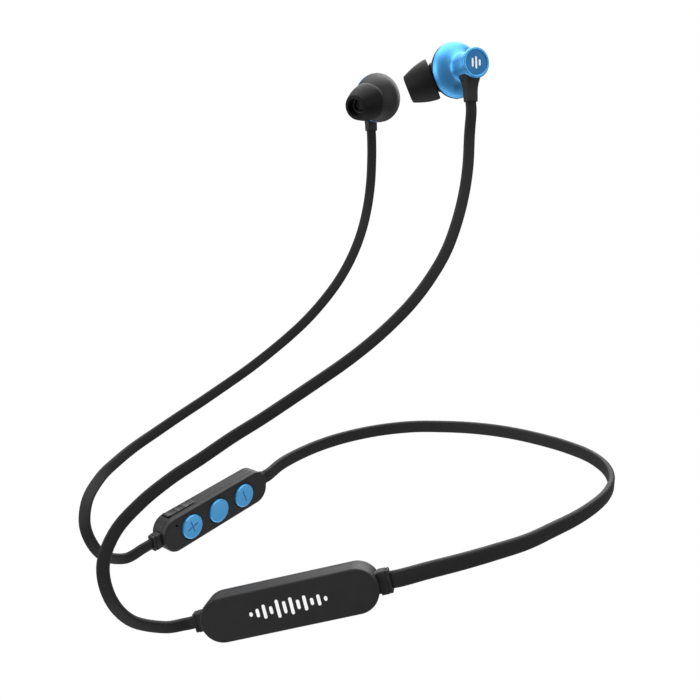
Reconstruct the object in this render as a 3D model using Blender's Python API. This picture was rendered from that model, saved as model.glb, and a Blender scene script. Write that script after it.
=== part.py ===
"""Neckband earphones with a battery pod, a remote pod and two angled in-ear buds.

Sizes are in millimetres and become metres when a mesh is made. The origin is the centre of the
neck opening. The wearer faces -X, with the left ear towards -Y, and +Z is up.

A pod's own frame: +X along the pod, -Y out of its face, +Z across its width.
A bud's own frame: +Z from the end cap to the ear, +Y up, away from its cable.
"""
import math

import bmesh
import bpy
from mathutils import Euler, Matrix, Vector

MM = 0.001
GAP = 0.3                     # clearance left between pieces that touch

# ---- battery pod --------------------------------------------------------------------------
BATTERY_SIZE = (46.0, 7.0, 11.5)          # length, depth, width
BATTERY_WALL = 1.2
BATTERY_FLOOR = 1.1
BATTERY_SEAM_Y = 1.6                      # where the deep front shell ends
BATTERY_CELL_SIZE = (28.0, 3.2, 7.6)

# ---- remote pod ---------------------------------------------------------------------------
REMOTE_SIZE = (41.0, 6.0, 10.6)
REMOTE_CORNER = 4.6
REMOTE_WALL = 0.9
REMOTE_SEAM_Y = -1.2                      # where the shallow front shell ends
BUTTON_RADIUS = 3.65
BUTTON_FLANGE_RADIUS = 4.1
BUTTON_HOLE_RADIUS = 3.9
BUTTON_PITCH = 10.55
BUTTON_PROUD = 0.6
SWITCH_OFFSET_Z = -1.6
USB_CENTRE_X = -11.3
USB_CENTRE_Y = 0.6
MICROPHONE_XZ = (-15.7, 2.9)
DOOR_HINGE_XZ = (-6.4, 5.25)              # the living hinge at the door's tethered end

# ---- flat cables and their grommets -------------------------------------------------------
EAR_CABLE_WIDTH = 3.0
NECK_CABLE_WIDTH = 4.2
NECK_GROMMET = (2.6, 3.2, 6.0)            # how far it stands out, thickness, width
EAR_GROMMET = (2.0, 3.0, 5.0)
REMOTE_EAR_GROMMET = (2.4, 2.8, 4.7)
REMOTE_NECK_GROMMET = (1.2, 2.8, 4.4)

# ---- earbud -------------------------------------------------------------------------------
BELL_RADIUS = 7.95
BELL_RIM_Z = -0.5
STEM_RADIUS = 3.75
STEM_BORE = 3.0
STEM_END_Z = -10.4
NOZZLE_TILT = math.radians(58)            # from the bell's axis towards the front of the head
NOZZLE_DROP = math.radians(19)
NOZZLE_RADIUS = 2.6
NOZZLE_BORE = 1.9
NOZZLE_END = 12.2
NOZZLE_ROOT = Vector((0, 0.4, 1.0))
TIP_RIM = 6.4                             # where the ear tip's skirt ends, along the nozzle
TIP_FRONT = 14.3
RELIEF_BOTTOM_Y = -9.66
RELIEF_CENTRE_Z = -7.5

# ---- where each assembly hangs: place in mm and turn in degrees ------------------------------
BATTERY_PLACE = ((-46.8, -51.5, -8.8), (-11.5, -15.5, -3.5))
REMOTE_PLACE = ((-74.5, -0.5, -7.75), (0.0, -7.0, 50.0))
BUD_LEAN = Vector((-0.05, 0.1, 0.99))     # both buds' up direction
BUD_PLACES = {
    "left": ((-1.6, 16.7, 121.4), Vector((-0.405, 0.903, -0.135))),
    "right": ((-22.6, 55.1, 115.0), Vector((0.34, -0.935, 0.105))),
}
NOZZLE_SIDE = {"left": 1, "right": -1}

# ---- cable routes: the points each flat cable passes through ---------------------------------
LEFT_EAR_ROUTE = (
    (-79, -52, -15.8), (-86, -55, -12), (-89.9, -57.5, -4.4), (-91, -57.5, 4.5),
    (-88.2, -55, 12.1), (-82.5, -51.5, 18), (-75.9, -47, 22.4), (-69, -43, 26), (-62, -39.5, 30),
    (-54.6, -36, 33.8), (-47.6, -32.4, 37.6), (-40.4, -28.7, 41.6), (-33.6, -25.2, 45.5),
    (-27.3, -21.8, 49.6), (-21.5, -18.2, 53.9), (-15.5, -14.4, 59.2), (-10.2, -10.1, 65.1),
    (-5.6, -6.1, 71.9), (-2.4, -2.1, 79.1), (0, 1.9, 87), (1.4, 5.3, 95), (1.9, 8, 103.5),
)
RIGHT_EAR_ROUTE = (
    (-96, -23, -12.7), (-101, -28, -8.5), (-104.2, -29, -0.5), (-104.5, -25, 6), (-102.7, -17.5, 9.7),
    (-100.2, -9.5, 11.2), (-96.7, -1.5, 12.7), (-91.7, 6, 14.7), (-85.6, 12, 17.7),
    (-79.3, 17, 20.9), (-72.8, 22, 24.4), (-65.9, 26, 28.5), (-59.4, 29.5, 32.9), (-52.8, 33, 37.8),
    (-46.6, 36, 43.1), (-40.7, 39.5, 49.2), (-35.5, 43, 55.8), (-31.3, 46.5, 63), (-28.2, 50, 70.5),
    (-26.1, 53.5, 78.5), (-24.9, 56.5, 87), (-24.5, 59, 95.5),
)
NECK_ROUTE = (
    (-12.5, -50, -1), (-3.5, -46.5, -0.5), (5.5, -42.5, 0), (14.5, -38, 0.5),
    (22.4, -32.5, 1.1), (30.4, -26.5, 1.7), (37.3, -20, 2.3), (43, -12, 2.2), (47.2, -2.5, 2),
    (48.1, 7, 2.3), (45.6, 16.5, 2.4), (40.5, 25.5, 2), (34.5, 33, 1.5), (27, 39.5, 1.2),
    (19, 45, 0.7), (10.5, 49.5, 0), (1, 52.5, -0.7), (-8.5, 53.5, -1.1), (-18.5, 53, -1.9),
    (-27.6, 50, -2.4), (-36.1, 45.5, -2.9), (-43.7, 39.7, -3.4), (-50.1, 32.2, -3.6),
    (-55.1, 24.7, -3.8),
)
CABLE_POINTS = 26                         # points on each finished cable
CABLE_LEAD = 3.0                          # a cable leaves its exit straight for this long


# ---- materials ----------------------------------------------------------------------------
COLOURS = {
    "soft_black": ((0.023, 0.023, 0.024), 0.55, 0.0),
    "cable_black": ((0.018, 0.018, 0.019), 0.5, 0.0),
    "silicone_black": ((0.02, 0.02, 0.021), 0.6, 0.0),
    "anodised_blue": ((0.07, 0.36, 0.72), 0.32, 1.0),
    "button_blue": ((0.075, 0.3, 0.56), 0.4, 0.3),
    "board_green": ((0.02, 0.13, 0.05), 0.5, 0.0),
    "foil": ((0.55, 0.55, 0.58), 0.35, 1.0),
    "steel": ((0.6, 0.6, 0.6), 0.3, 1.0),
    "copper": ((0.7, 0.33, 0.16), 0.35, 1.0),
    "chip_black": ((0.03, 0.03, 0.03), 0.45, 0.0),
    "foam_grey": ((0.2, 0.2, 0.2), 0.95, 0.0),
    "film_clear": ((0.5, 0.45, 0.32), 0.3, 0.0),
}


def material(name):
    """The named material, made on first use."""
    found = bpy.data.materials.get(name)
    if found:
        return found
    colour, roughness, metallic = COLOURS[name]
    made = bpy.data.materials.new(name)
    made.use_nodes = True
    shader = made.node_tree.nodes["Principled BSDF"]
    shader.inputs["Base Color"].default_value = (*colour, 1.0)
    shader.inputs["Roughness"].default_value = roughness
    shader.inputs["Metallic"].default_value = metallic
    return made


# ---- scene helpers --------------------------------------------------------------------------
def clear_scene():
    for thing in list(bpy.data.objects):
        bpy.data.objects.remove(thing, do_unlink=True)


def anchor(name, place, rotation):
    """An empty that carries one assembly. place is in mm."""
    empty = bpy.data.objects.new(name, None)
    empty.location = Vector(place) * MM
    empty.rotation_euler = rotation
    bpy.context.collection.objects.link(empty)
    return empty


def child_anchor(name, parent, place):
    """An empty inside an assembly, for instance on a joint's axis."""
    empty = anchor(name, place, (0, 0, 0))
    empty.parent = parent
    return empty


def add_piece(name, mesh_data, parent, look, origin=(0, 0, 0)):
    """Make one object from a bmesh drawn in mm, with its origin moved to origin."""
    for vertex in mesh_data.verts:
        vertex.co = (vertex.co - Vector(origin)) * MM
    mesh = bpy.data.meshes.new(name)
    mesh_data.to_mesh(mesh)
    mesh_data.free()
    mesh.materials.append(material(look))
    mesh.shade_smooth()
    mesh.set_sharp_from_angle(angle=math.radians(35))
    piece = bpy.data.objects.new(name, mesh)
    piece.parent = parent
    bpy.context.collection.objects.link(piece)
    return piece


def cutter(piece, mesh_data, operation="DIFFERENCE"):
    """Apply a hidden helper shape to piece with a Boolean modifier."""
    helper = add_piece(piece.name + "_cut", mesh_data, piece.parent, "steel")
    helper.hide_render = True
    helper.display_type = "WIRE"
    modifier = piece.modifiers.new(operation.lower(), "BOOLEAN")
    modifier.object = helper
    modifier.operation = operation
    return helper


# ---- shapes, all in mm ----------------------------------------------------------------------
def rounded_outline(length, width, radius, steps=6):
    """A rectangle with round corners, anticlockwise seen from -Y, as (x, z) pairs."""
    points = []
    for quarter in range(4):
        sign_x = (1, -1, -1, 1)[quarter]
        sign_z = (1, 1, -1, -1)[quarter]
        centre_x = sign_x * (length / 2 - radius)
        centre_z = sign_z * (width / 2 - radius)
        for step in range(steps + 1):
            angle = math.pi / 2 * (quarter + step / steps)
            x = centre_x + radius * math.cos(angle)
            z = centre_z + radius * math.sin(angle)
            points.append((x, z))
    return points


def circle_outline(centre_x, centre_z, radius, count):
    turns = [2 * math.pi * (k + 0.5) / count for k in range(count)]
    return [(centre_x + radius * math.cos(a), centre_z + radius * math.sin(a)) for a in turns]


def loft(rings, closed=False):
    """Skin a list of vertex rings. Open lofts get flat ends, closed ones join end to start."""
    mesh_data = bmesh.new()
    made = [[mesh_data.verts.new(point) for point in ring] for ring in rings]
    pairs = list(zip(made, made[1:]))
    if closed:
        pairs.append((made[-1], made[0]))
    for lower, upper in pairs:
        count = len(lower)
        for k in range(count):
            following = (k + 1) % count
            mesh_data.faces.new((lower[k], lower[following], upper[following], upper[k]))
    if not closed:
        mesh_data.faces.new(list(reversed(made[0])))
        mesh_data.faces.new(made[-1])
    bmesh.ops.recalc_face_normals(mesh_data, faces=mesh_data.faces)
    return mesh_data


def stack(levels):
    """Loft along Y through (y, outline) levels, with outlines of equal point counts."""
    return loft([[(x, y, z) for x, z in outline] for y, outline in levels])


def box(low, high):
    """A plain block between two corners."""
    (x0, y0, z0), (x1, y1, z1) = low, high
    outline = [(x1, z1), (x0, z1), (x0, z0), (x1, z0)]
    return stack([(y0, outline), (y1, outline)])


def tube_frame(outer, inner, y0, y1):
    """A ring-shaped plate between two outlines of equal point counts."""
    rings = []
    for y, outline in ((y0, outer), (y1, outer), (y1, inner), (y0, inner)):
        rings.append([(x, y, z) for x, z in outline])
    return loft(rings, closed=True)


def turned(profile, segments, centre=(0, 0, 0), axis=(0, 0, 1), ring=False):
    """Turn (radius, height) points about an axis through centre.

    An open profile starts and ends on the axis; ring=True turns a closed profile off the axis.
    """
    turn = Vector(axis).to_track_quat("Z", "Y").to_matrix()
    middle = Vector(centre)
    mesh_data = bmesh.new()
    rows = []
    for radius, height in profile:
        if radius == 0:
            rows.append([mesh_data.verts.new(middle + turn @ Vector((0, 0, height)))])
            continue
        row = []
        for k in range(segments):
            angle = 2 * math.pi * k / segments
            spot = Vector((radius * math.cos(angle), radius * math.sin(angle), height))
            row.append(mesh_data.verts.new(middle + turn @ spot))
        rows.append(row)
    pairs = list(zip(rows, rows[1:]))
    if ring:
        pairs.append((rows[-1], rows[0]))
    for first, second in pairs:
        for k in range(segments):
            following = (k + 1) % segments
            corners = [first[k % len(first)], first[following % len(first)],
                       second[following % len(second)], second[k % len(second)]]
            corners = list(dict.fromkeys(corners))
            mesh_data.faces.new(corners)
    bmesh.ops.recalc_face_normals(mesh_data, faces=mesh_data.faces)
    return mesh_data


def disc(radius, z0, z1, segments, centre=(0, 0, 0), axis=(0, 0, 1)):
    return turned([(0, z0), (radius, z0), (radius, z1), (0, z1)], segments, centre, axis)


def blocks_along_x(steps):
    """A block with stepped sections: each step is (x, half thickness, half width)."""
    rings = []
    for x, half_y, half_z in steps:
        corner = 0.35 * half_y
        ring = []
        for sign_y, sign_z in ((1, 1), (-1, 1), (-1, -1), (1, -1)):
            long_side = (x, sign_y * half_y, sign_z * (half_z - corner))
            short_side = (x, sign_y * (half_y - corner), sign_z * half_z)
            first_is_long = sign_y * sign_z > 0
            ring += [long_side, short_side] if first_is_long else [short_side, long_side]
        rings.append(ring)
    return loft(rings)


# ---- pods -----------------------------------------------------------------------------------
def pod_cup(outer, inner, chamfered, y_face, y_chamfer, y_rim, y_floor):
    """A shell open towards y_rim, with a chamfer round its face."""
    return stack([(y_face, chamfered), (y_chamfer, outer), (y_rim, outer),
                  (y_rim, inner), (y_floor, inner)])


def pod_outlines(size, corner, wall, chamfer=0.35):
    length, _, width = size
    outer = rounded_outline(length, width, corner)
    inner = rounded_outline(length - 2 * wall, width - 2 * wall, corner - wall)
    chamfered = rounded_outline(length - 2 * chamfer, width - 2 * chamfer, corner - chamfer)
    return outer, inner, chamfered


def grommet(name, parent, side, pod_half_length, wall, stand_out, flange_inset):
    """A rubber cable grommet: inner flange, neck through the wall and outer collar."""
    reach, thickness, width = stand_out
    start = pod_half_length - wall - flange_inset
    collar = pod_half_length + GAP
    neck_y = 0.8
    neck_z = width / 2 - 0.9
    steps = [
        (start, neck_y + 0.35, neck_z + 0.6), (start + 1.0, neck_y + 0.35, neck_z + 0.6),
        (start + 1.0, neck_y, neck_z), (collar, neck_y, neck_z),
        (collar, thickness / 2, width / 2),
        (pod_half_length + reach, thickness / 2 - 0.15, width / 2 - 0.2),
    ]
    return add_piece(name, blocks_along_x([(side * x, y, z) for x, y, z in steps]), parent,
                     "soft_black")


def neck_slot(shell, side, pod_half_length, neck_width, y_rim):
    """Cut the slot a grommet's neck sits in, open at the shell's rim."""
    half = neck_width / 2 - 0.9 + GAP
    low_x, high_x = sorted((side * (pod_half_length - 3.2), side * (pod_half_length + 1)))
    low_y, high_y = sorted((y_rim, -math.copysign(0.8 + GAP, y_rim)))
    cutter(shell, box((low_x, low_y, -half), (high_x, high_y, half)))


def build_battery_pod():
    pod = anchor("battery_pod", BATTERY_PLACE[0],
                 Euler([math.radians(a) for a in BATTERY_PLACE[1]]))
    length, depth, width = BATTERY_SIZE
    outer, inner, chamfered = pod_outlines(BATTERY_SIZE, width / 2, BATTERY_WALL)
    face = -depth / 2
    front = add_piece("battery_front_shell",
                      pod_cup(outer, inner, chamfered, face, face + 0.35, BATTERY_SEAM_Y,
                              face + BATTERY_FLOOR), pod, "soft_black")
    neck_slot(front, 1, length / 2, NECK_GROMMET[2], BATTERY_SEAM_Y + 0.2)
    neck_slot(front, -1, length / 2, EAR_GROMMET[2], BATTERY_SEAM_Y + 0.2)
    seam = BATTERY_SEAM_Y + GAP
    add_piece("battery_rear_shell",
              pod_cup(outer, inner, chamfered, depth / 2, depth / 2 - 0.35, seam, seam + 0.5),
              pod, "soft_black")
    grommet("battery_neck_grommet", pod, 1, length / 2, BATTERY_WALL, NECK_GROMMET, 2.4)
    grommet("battery_ear_grommet", pod, -1, length / 2, BATTERY_WALL, EAR_GROMMET, 2.4)
    cell_x, cell_y, cell_z = BATTERY_CELL_SIZE
    back = face + BATTERY_FLOOR + GAP
    add_piece("battery_cell", box((-17, back, -cell_z / 2), (-17 + cell_x, back + cell_y,
                                                             cell_z / 2)), pod, "foil")
    add_piece("battery_foam_pad", box((-16, back + cell_y + GAP, -3), (10, seam + 0.2, 3)),
              pod, "foam_grey")
    add_piece("battery_protection_board", box((12, -0.6, -3), (17.4, 0.2, 3)), pod,
              "board_green")


def button(name, pod, x):
    """A push button with a retaining flange, on an anchor at its own centre."""
    face = -REMOTE_SIZE[1] / 2
    flange_front = face + 0.9 + GAP
    profile = [(0, face - BUTTON_PROUD), (BUTTON_RADIUS - 0.3, face - BUTTON_PROUD),
               (BUTTON_RADIUS, face - BUTTON_PROUD + 0.3), (BUTTON_RADIUS, flange_front),
               (BUTTON_FLANGE_RADIUS, flange_front), (BUTTON_FLANGE_RADIUS, flange_front + 0.4),
               (0, flange_front + 0.4)]
    stem = child_anchor(name + "_anchor", pod, (x, 0, 0))
    add_piece(name + "_button", turned(profile, 24, axis=(0, 1, 0)), stem, "button_blue")
    plunger_front = flange_front + 0.4 + GAP
    add_piece(name + "_switch_plunger",
              disc(0.6, plunger_front, plunger_front + 0.6, 12, (0, 0, SWITCH_OFFSET_Z),
                   (0, 1, 0)), stem, "chip_black")


def switch_body(name, pod, x):
    """A tactile switch's square case with a round hole for its plunger."""
    hole = circle_outline(x, SWITCH_OFFSET_Z, 0.9, 16)
    square = []
    for hole_x, hole_z in hole:
        away_x, away_z = hole_x - x, hole_z - SWITCH_OFFSET_Z
        stretch = 1.0 / max(abs(away_x) / 1.3, abs(away_z) / 1.0)
        square.append((x + away_x * stretch, SWITCH_OFFSET_Z + away_z * stretch))
    add_piece(name + "_switch", tube_frame(square, hole, -0.7, 0.0), pod, "steel")


def remote_front_shell(pod, outer, inner, chamfered):
    face = -REMOTE_SIZE[1] / 2
    shell = add_piece("remote_front_shell",
                      pod_cup(outer, inner, chamfered, face, face + 0.35, REMOTE_SEAM_Y,
                              face + REMOTE_WALL), pod, "soft_black")
    for k in (-1, 0, 1):
        cutter(shell, disc(BUTTON_HOLE_RADIUS, face - 1, face + 1.5, 24,
                           (k * BUTTON_PITCH, 0, 0), (0, 1, 0)))
    mic_x, mic_z = MICROPHONE_XZ
    cutter(shell, disc(0.45, face - 1, face + 1.5, 10, (mic_x, 0, mic_z), (0, 1, 0)))


def remote_rear_shell(pod, outer, inner, chamfered):
    back = REMOTE_SIZE[1] / 2
    half_length = REMOTE_SIZE[0] / 2
    side = REMOTE_SIZE[2] / 2
    seam = REMOTE_SEAM_Y + GAP
    shell = add_piece("remote_rear_shell",
                      pod_cup(outer, inner, chamfered, back, back - 0.35, seam,
                              back - REMOTE_WALL), pod, "soft_black")
    neck_slot(shell, 1, half_length, REMOTE_NECK_GROMMET[2], seam - 0.2)
    neck_slot(shell, -1, half_length, REMOTE_EAR_GROMMET[2], seam - 0.2)
    door_recess = box((-16.7, -0.75, 4.7), (-5.8, 2.35, side + 1))
    cutter(shell, door_recess)
    mouth = box((USB_CENTRE_X - 4.0, USB_CENTRE_Y - 1.5, 4.0),
                (USB_CENTRE_X + 4.0, USB_CENTRE_Y + 1.5, side))
    cutter(shell, mouth)


def usb_socket(pod):
    """The socket's folded steel shell, open towards +Z, and the contact tongue in it."""
    x, y = USB_CENTRE_X, USB_CENTRE_Y
    outer_low, outer_high = (x - 3.7, y - 1.2), (x + 3.7, y + 1.2)
    bottom, floor, mouth = -0.2, 0.2, 4.7

    def ring(low, high, z):
        return [(high[0], high[1], z), (low[0], high[1], z), (low[0], low[1], z),
                (high[0], low[1], z)]

    inner_low = (outer_low[0] + 0.3, outer_low[1] + 0.3)
    inner_high = (outer_high[0] - 0.3, outer_high[1] - 0.3)
    add_piece("usb_socket_shell",
              loft([ring(outer_low, outer_high, bottom), ring(outer_low, outer_high, mouth),
                    ring(inner_low, inner_high, mouth), ring(inner_low, inner_high, floor)]),
              pod, "steel")
    add_piece("usb_socket_tongue", box((x - 1.9, y - 0.25, floor + GAP),
                                       (x + 1.9, y + 0.25, 3.4)), pod, "chip_black")


def usb_door(pod):
    """The rubber door: a plate with a grip lip, and a plug that fills the socket's mouth."""
    hinge = (DOOR_HINGE_XZ[0], USB_CENTRE_Y, DOOR_HINGE_XZ[1])
    stem = child_anchor("usb_door_anchor", pod, hinge)
    profile = [(-6.1, 5.5), (-15.5, 5.5), (-15.7, 5.8), (-16.4, 5.8), (-16.4, 5.0),
               (-6.1, 5.0)]
    door = add_piece("usb_door", stack([(-0.45, profile), (2.05, profile)]), stem,
                     "soft_black", hinge)
    plug = box((USB_CENTRE_X - 3.0, USB_CENTRE_Y - 0.6, 4.0),
               (USB_CENTRE_X + 3.0, USB_CENTRE_Y + 0.6, 5.2))
    for vertex in plug.verts:
        vertex.co -= Vector(hinge)
    cutter(door, plug, "UNION")


def remote_board(pod):
    """The circuit board, notched round the USB socket."""
    notch = USB_CENTRE_X - 4.0, USB_CENTRE_X + 4.0
    outline = [(15.6, 4.0), (notch[1], 4.0), (notch[1], -0.5), (notch[0], -0.5),
               (notch[0], 4.0), (-15.6, 4.0), (-17.4, 2.4), (-17.4, -2.4), (-15.6, -4.0),
               (15.6, -4.0), (17.4, -2.4), (17.4, 2.4)]
    add_piece("remote_circuit_board", stack([(0.3, outline), (0.9, outline)]), pod,
              "board_green")
    add_piece("bluetooth_chip", box((1, 1.2, -2), (5, 1.8, 2)), pod, "chip_black")
    mic_x, mic_z = MICROPHONE_XZ
    add_piece("microphone_capsule", box((mic_x - 1.3, -1.8, mic_z - 1.0),
                                        (mic_x + 0.7, -0.9, mic_z + 1.0)), pod, "steel")


def build_remote_pod():
    pod = anchor("remote_pod", REMOTE_PLACE[0],
                 Euler([math.radians(a) for a in REMOTE_PLACE[1]]))
    outer, inner, chamfered = pod_outlines(REMOTE_SIZE, REMOTE_CORNER, REMOTE_WALL)
    half_length = REMOTE_SIZE[0] / 2
    remote_front_shell(pod, outer, inner, chamfered)
    remote_rear_shell(pod, outer, inner, chamfered)
    grommet("remote_neck_grommet", pod, 1, half_length, REMOTE_WALL, REMOTE_NECK_GROMMET, 1.7)
    grommet("remote_ear_grommet", pod, -1, half_length, REMOTE_WALL, REMOTE_EAR_GROMMET, 1.7)
    for k, name in enumerate(("plus", "play", "minus")):
        x = (k - 1) * BUTTON_PITCH
        button(name, pod, x)
        switch_body(name, pod, x)
    usb_socket(pod)
    usb_door(pod)
    remote_board(pod)


# ---- earbuds ----------------------------------------------------------------------------------
def bud_rotation(forward):
    """The turn that puts a bud's +Z along forward and its +Y as near BUD_LEAN as it can be."""
    z = forward.normalized()
    x = BUD_LEAN.cross(z).normalized()
    y = z.cross(x)
    return Matrix((x, y, z)).transposed().to_euler()


def nozzle_direction(side):
    level = math.cos(NOZZLE_DROP)
    return Vector((side * math.sin(NOZZLE_TILT) * level, -math.sin(NOZZLE_DROP),
                   math.cos(NOZZLE_TILT) * level))


def bud_housing(name, bud):
    """The turned aluminium bell and stem, hollow, with a slot for the strain relief."""
    outside = [(7.85, BELL_RIM_Z), (BELL_RADIUS, -0.7), (7.75, -1.25), (7.35, -1.8),
               (6.75, -2.35), (6.05, -2.85), (5.3, -3.3), (4.6, -3.75), (4.1, -4.15),
               (3.9, -4.5), (STEM_RADIUS, -5.0), (STEM_RADIUS, STEM_END_Z)]
    inside = [(STEM_BORE, STEM_END_Z), (STEM_BORE, -4.2), (4.1, -3.1), (5.3, -2.45),
              (6.2, -1.6), (7.1, -1.5), (7.2, BELL_RIM_Z)]
    housing = add_piece(name + "_housing", turned(outside + inside, 24, ring=True), bud,
                        "anodised_blue")
    cutter(housing, box((-1.3, -5, STEM_END_Z - 1), (1.3, -1.5, -5.7)))


def bud_end_cap(name, bud):
    """The cap that closes the stem: a rim, a sunk disc and a plug in the stem's bore."""
    rim = STEM_END_Z - GAP
    profile = [(0, rim - 0.35), (3.4, rim - 0.35), (3.45, rim - 0.6), (3.9, rim - 0.6),
               (4.1, rim - 0.4), (4.1, rim), (STEM_BORE - GAP, rim),
               (STEM_BORE - GAP, rim + 1.0), (0, rim + 1.0)]
    add_piece(name + "_end_cap", turned(profile, 24), bud, "anodised_blue")


def bud_front_cover(name, bud, direction):
    """The black front: a low dome, the angled nozzle's root and the hollow nozzle."""
    back = BELL_RIM_Z + GAP
    dome = [(0, 5.1), (3.0, 4.7), (4.9, 3.85), (6.1, 2.8), (7.0, 1.6), (7.65, 0.7), (8.05, 0.1),
            (8.05, back), (0, back)]
    cover = add_piece(name + "_front_cover", turned(dome, 24), bud, "soft_black")
    root = [(0, 3.3), (3.1, 3.3), (4.2, 5.2), (4.2, 6.2), (NOZZLE_RADIUS, 6.8),
            (NOZZLE_RADIUS, NOZZLE_END), (0, NOZZLE_END)]
    cutter(cover, turned(root, 20, NOZZLE_ROOT, direction), "UNION")
    hollow = [(0, 4.4), (2.6, 4.0), (4.3, 3.2), (5.5, 2.2), (6.4, 1.1), (6.9, 0.4), (6.9, -1),
              (0, -1)]
    cutter(cover, turned(hollow, 24))
    cutter(cover, disc(NOZZLE_BORE, 1.5, NOZZLE_END + 1, 16, NOZZLE_ROOT, direction))


def bud_ear_tip(name, bud, direction):
    """The silicone tip: a skirt that folds back over a sleeve on the nozzle."""
    sleeve = NOZZLE_RADIUS + GAP
    profile = [(5.5, TIP_RIM), (5.9, TIP_RIM), (5.88, 7.6), (5.6, 9.3), (5.1, 11.0),
               (4.5, 12.6), (4.0, 13.8), (3.6, TIP_FRONT), (2.7, TIP_FRONT), (2.3, 12.5),
               (sleeve, 12.5), (sleeve, 7.3), (3.5, 7.3), (3.5, 11.2), (4.0, 11.8),
               (4.7, 10.5), (5.2, 9.0), (5.5, 7.6)]
    anchor_here = child_anchor(name + "_tip_anchor", bud, NOZZLE_ROOT)
    add_piece(name + "_ear_tip", turned(profile, 24, (0, 0, 0), direction, ring=True),
              anchor_here, "silicone_black")


def bud_strain_relief(name, bud):
    """The tapered relief under the stem, with a neck that sits in the stem's slot."""
    rings = []
    for y, half_x, half_z in ((RELIEF_BOTTOM_Y, 1.85, 1.15), (-6.5, 1.9, 1.25),
                              (-4.6, 2.1, 1.6), (-3.0, 2.3, 1.9)):
        corner = 0.45
        corners = ((1, 1), (-1, 1), (-1, -1), (1, -1))
        ring = []
        for k, (sign_x, sign_z) in enumerate(corners):
            wide = (sign_x * half_x, y, RELIEF_CENTRE_Z + sign_z * (half_z - corner))
            deep = (sign_x * (half_x - corner), y, RELIEF_CENTRE_Z + sign_z * half_z)
            ring += [wide, deep] if k % 2 == 0 else [deep, wide]
        rings.append(ring)
    relief = add_piece(name + "_strain_relief", loft(rings), bud, "soft_black")
    cutter(relief, disc(STEM_RADIUS + GAP, -14, 0, 24))
    neck = box((-1.0, -5.2, RELIEF_CENTRE_Z - 1.4), (1.0, -2.7, RELIEF_CENTRE_Z + 1.4))
    cutter(relief, neck, "UNION")


def bud_driver(name, bud):
    """The moving-coil driver in the bell, and the damping disc behind it."""
    frame = [(3.0, -1.2), (6.7, -1.2), (6.7, -0.1), (5.3, -0.1), (5.3, -0.9), (3.0, -0.9)]
    add_piece(name + "_driver_frame", turned(frame, 20, ring=True), bud, "chip_black")
    yoke = [(0, -2.9), (3.4, -2.9), (3.4, -1.5), (2.9, -1.5), (2.9, -2.5), (0, -2.5)]
    add_piece(name + "_driver_yoke", turned(yoke, 20), bud, "steel")
    add_piece(name + "_driver_magnet", disc(2.1, -2.2, -1.3, 20), bud, "steel")
    coil = [(2.4, -1.9), (2.6, -1.9), (2.6, -0.9), (2.4, -0.9)]
    add_piece(name + "_voice_coil", turned(coil, 20, ring=True), bud, "copper")
    film = [(0, -0.25), (2.2, -0.35), (2.6, -0.55), (3.8, -0.3), (4.9, -0.5), (4.9, -0.65),
            (3.8, -0.45), (2.6, -0.7), (2.2, -0.5), (0, -0.4)]
    add_piece(name + "_diaphragm", turned(film, 20), bud, "film_clear")
    add_piece(name + "_damping_disc", disc(STEM_BORE - GAP, -5.6, -5.1, 16), bud, "foam_grey")


def build_bud(name):
    place, forward = BUD_PLACES[name]
    bud = anchor(name + "_bud", place, bud_rotation(forward))
    direction = nozzle_direction(NOZZLE_SIDE[name])
    bud_housing(name, bud)
    bud_end_cap(name, bud)
    bud_front_cover(name, bud, direction)
    bud_ear_tip(name, bud, direction)
    add_piece(name + "_nozzle_mesh", disc(NOZZLE_BORE - GAP, 11.4, 11.8, 16, NOZZLE_ROOT,
                                          direction), bud, "steel")
    bud_strain_relief(name, bud)
    bud_driver(name, bud)


# ---- cables -----------------------------------------------------------------------------------
def spline_point(points, position):
    """A point on the smooth curve through points; position runs from 0 to len(points) - 1."""
    index = min(int(position), len(points) - 2)
    t = position - index
    p1, p2 = points[index], points[index + 1]
    p0 = points[index - 1] if index > 0 else 2 * p1 - p2
    p3 = points[index + 2] if index + 2 < len(points) else 2 * p2 - p1
    cubic = -p0 + 3 * p1 - 3 * p2 + p3
    square = 2 * p0 - 5 * p1 + 4 * p2 - p3
    return 0.5 * (2 * p1 + (p2 - p0) * t + square * t * t + cubic * t * t * t)


def cable(name, route, start, end, width):
    """A round stand-in for a flat cable. start and end are each (exit, a point further out)."""
    points = [*start] + [Vector(p) for p in route] + [*reversed(end)]
    last = len(points) - 1
    curve = bpy.data.curves.new(name, "CURVE")
    curve.dimensions = "3D"
    curve.bevel_depth = width / 2 * MM
    curve.bevel_resolution = 2
    curve.use_fill_caps = True
    spline = curve.splines.new("POLY")
    spline.points.add(CABLE_POINTS - 1)
    for k, spot in enumerate(spline.points):
        where = spline_point(points, last * k / (CABLE_POINTS - 1)) * MM
        spot.co = (*where, 1.0)
    curve.materials.append(material("cable_black"))
    piece = bpy.data.objects.new(name, curve)
    bpy.context.collection.objects.link(piece)


def pod_exit(place, side, size, stand_out):
    """The point just outside a grommet where its cable starts, and one straight out from it."""
    spot, turn = place
    outward = Euler([math.radians(a) for a in turn]).to_matrix() @ Vector((side, 0, 0))
    start = Vector(spot) + outward * (size[0] / 2 + stand_out[0] + GAP)
    return start, start + outward * CABLE_LEAD


def bud_exit(name):
    """The point just under a strain relief where the cable ends, and one straight below it."""
    place, forward = BUD_PLACES[name]
    matrix = bud_rotation(forward).to_matrix()
    end = Vector(place) + matrix @ Vector((0, RELIEF_BOTTOM_Y - GAP, RELIEF_CENTRE_Z))
    return end, end + matrix @ Vector((0, -CABLE_LEAD, 0))


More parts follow.
